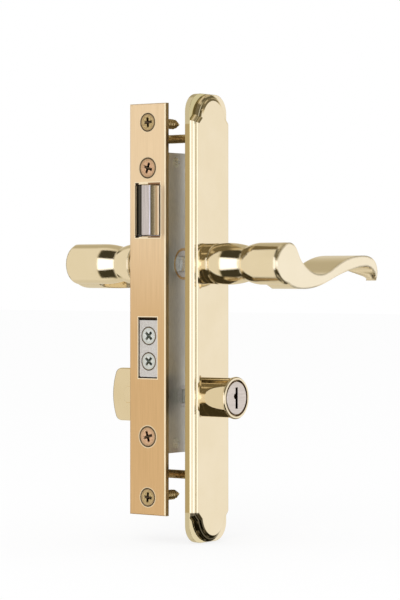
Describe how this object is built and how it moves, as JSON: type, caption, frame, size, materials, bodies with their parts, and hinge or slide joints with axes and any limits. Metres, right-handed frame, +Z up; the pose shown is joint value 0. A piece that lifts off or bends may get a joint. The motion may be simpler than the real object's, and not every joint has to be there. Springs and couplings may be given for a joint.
{
  "type": "mortise latch",
  "caption": "Mortise latch for a narrow door: brass faceplate, sprung latch, deadbolt, case, moulded long plate, wave levers, key cylinder and thumbturn.",
  "frame": {"origin": "on the front face of the faceplate, on its centre line, at the height of the lever spindle", "axes": "+X through the door towards the outside, +Y into the door from the faceplate's front, +Z up"},
  "size_m": [0.1306, 0.1017, 0.2174],
  "materials": {
    "satin_brass": "satin, brushed along its length",
    "polished_brass": "polished and lacquered",
    "brass_screw": "plain brass",
    "copper_screw": "coppered steel",
    "nickel": "satin nickel",
    "cast_zinc": "bare cast zinc",
    "zinc_steel": "zinc plated",
    "case_steel": "zinc plated sheet",
    "spring_steel": "drawn wire and strip",
    "bearing_bronze": "plain bronze",
    "dark_steel": "blackened"
  },
  "bodies": {
    "root": {"faceplate": "satin_brass", "door_edge_screws": "brass_screw", "faceplate_case_screws": "copper_screw", "case_body": "case_steel", "case_cover": "case_steel", "case_pillars": "case_steel", "case_screws": "zinc_steel", "latch_spring": "spring_steel", "latch_spring_stop": "zinc_steel", "hub_bushes": "bearing_bronze", "hub_spring": "spring_steel", "bolt_detent_spring": "spring_steel", "outside_plate": "polished_brass", "inside_plate": "polished_brass", "plate_bolts": "brass_screw", "outside_collar": "polished_brass", "inside_collar": "polished_brass", "outside_bush": "bearing_bronze", "inside_bush": "bearing_bronze", "cylinder_housing": "polished_brass", "cylinder_nut": "zinc_steel", "thumbturn_collar": "polished_brass"},
    "handles": {"latch_hub": "cast_zinc", "spindle": "zinc_steel", "outside_lever": "polished_brass", "inside_lever": "polished_brass", "outside_ring": "spring_steel", "inside_ring": "spring_steel", "lever_set_screws": "dark_steel"},
    "latch": {"latch_head": "nickel", "latch_tail": "zinc_steel", "latch_rod": "zinc_steel"},
    "deadbolt": {"deadbolt_head": "cast_zinc", "deadbolt_screws": "zinc_steel", "deadbolt_carriage": "zinc_steel"},
    "turn": {"thumbturn": "polished_brass", "thumbturn_screw": "dark_steel", "tailpiece": "zinc_steel", "bolt_cam": "cast_zinc"},
    "plug": {"key_plug": "nickel", "wafers": "brass_screw", "plug_clip": "spring_steel"}
  },
  "joints": [
    {"name": "handle_turn", "type": "hinge", "parent": "root", "child": "handles", "pos_m": [0, 0.0172, 0], "axis": [-1, 0, 0], "range_deg": [0, 40], "stiffness_Nm_per_rad": 0.8, "springref_deg": -34.38, "deforming": ["hub_spring"]},
    {"name": "latch_slide", "type": "slide", "parent": "root", "child": "latch", "axis": [0, 1, 0], "range_m": [0, 0.0075], "deforming": ["latch_spring"]},
    {"name": "thumbturn_turn", "type": "hinge", "parent": "root", "child": "turn", "pos_m": [0, 0.0172, -0.0647], "axis": [1, 0, 0], "range_deg": [0, 90]},
    {"name": "deadbolt_slide", "type": "slide", "parent": "root", "child": "deadbolt", "axis": [0, -1, 0], "range_m": [0, 0.0127], "deforming": ["bolt_detent_spring"]},
    {"name": "key_plug_turn", "type": "hinge", "parent": "root", "child": "plug", "pos_m": [0.03, 0.0172, -0.0647], "axis": [1, 0, 0], "range_deg": [0, 90]}
  ],
  "couplings": [
    {"joint": "latch_slide", "follows": "handle_turn", "m_per_rad": 0.01074},
    {"joint": "thumbturn_turn", "follows": "deadbolt_slide", "rad_per_m": 123.68},
    {"joint": "key_plug_turn", "follows": "deadbolt_slide", "rad_per_m": 123.68}
  ]
}
